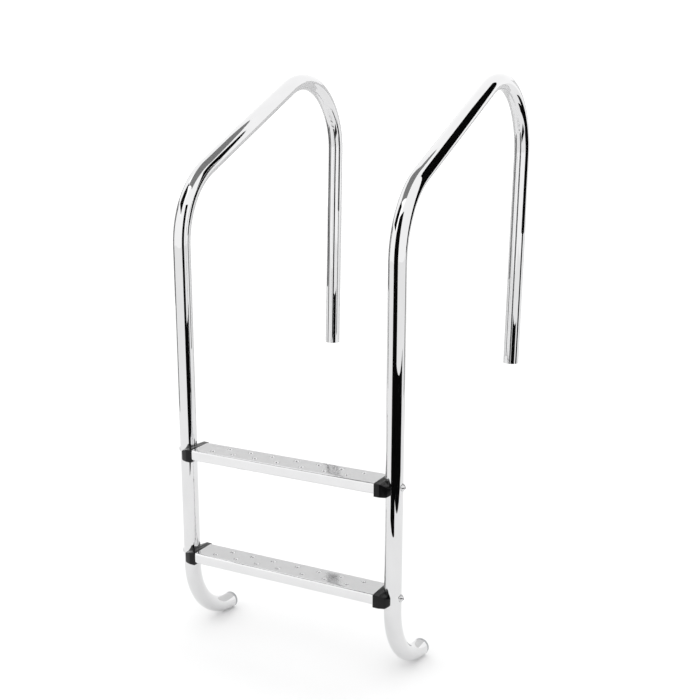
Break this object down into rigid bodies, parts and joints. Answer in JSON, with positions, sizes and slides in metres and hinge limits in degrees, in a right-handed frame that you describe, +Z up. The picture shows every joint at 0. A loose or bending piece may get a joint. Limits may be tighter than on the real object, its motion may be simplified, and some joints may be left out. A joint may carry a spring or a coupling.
{
  "type": "pool ladder",
  "caption": "Pool ladder: bent polished tube rails with deck legs and hooked feet, joined by folded sheet treads held in black end caps.",
  "frame": {"origin": "midway between the lower ends of the two deck legs", "axes": "+X across the ladder, +Y from the pool side to the deck, +Z up along the legs in the water"},
  "size_m": [0.5704, 0.7662, 1.2892],
  "materials": {
    "rail_steel": "mirror-polished stainless tube with fine marks along its length",
    "tread_steel": "satin stainless sheet with pressed round bumps",
    "cap_plastic": "moulded black plastic with a fine grain",
    "fastener_steel": "bright stainless fasteners",
    "bumper_plastic": "grey moulded plastic"
  },
  "bodies": {
    "root": {"rail_left": "rail_steel", "rail_right": "rail_steel", "tread_upper": "tread_steel", "tread_lower": "tread_steel", "end_cap_upper_left": "cap_plastic", "end_cap_upper_right": "cap_plastic", "end_cap_lower_left": "cap_plastic", "end_cap_lower_right": "cap_plastic", "bolt_upper_left": "fastener_steel", "bolt_upper_right": "fastener_steel", "bolt_lower_left": "fastener_steel", "bolt_lower_right": "fastener_steel", "saddle_washer_upper_left": "fastener_steel", "saddle_washer_upper_right": "fastener_steel", "saddle_washer_lower_left": "fastener_steel", "saddle_washer_lower_right": "fastener_steel", "nut_upper_left": "fastener_steel", "nut_upper_right": "fastener_steel", "nut_lower_left": "fastener_steel", "nut_lower_right": "fastener_steel", "toe_bumper_left": "bumper_plastic", "toe_bumper_right": "bumper_plastic"}
  },
  "joints": []
}
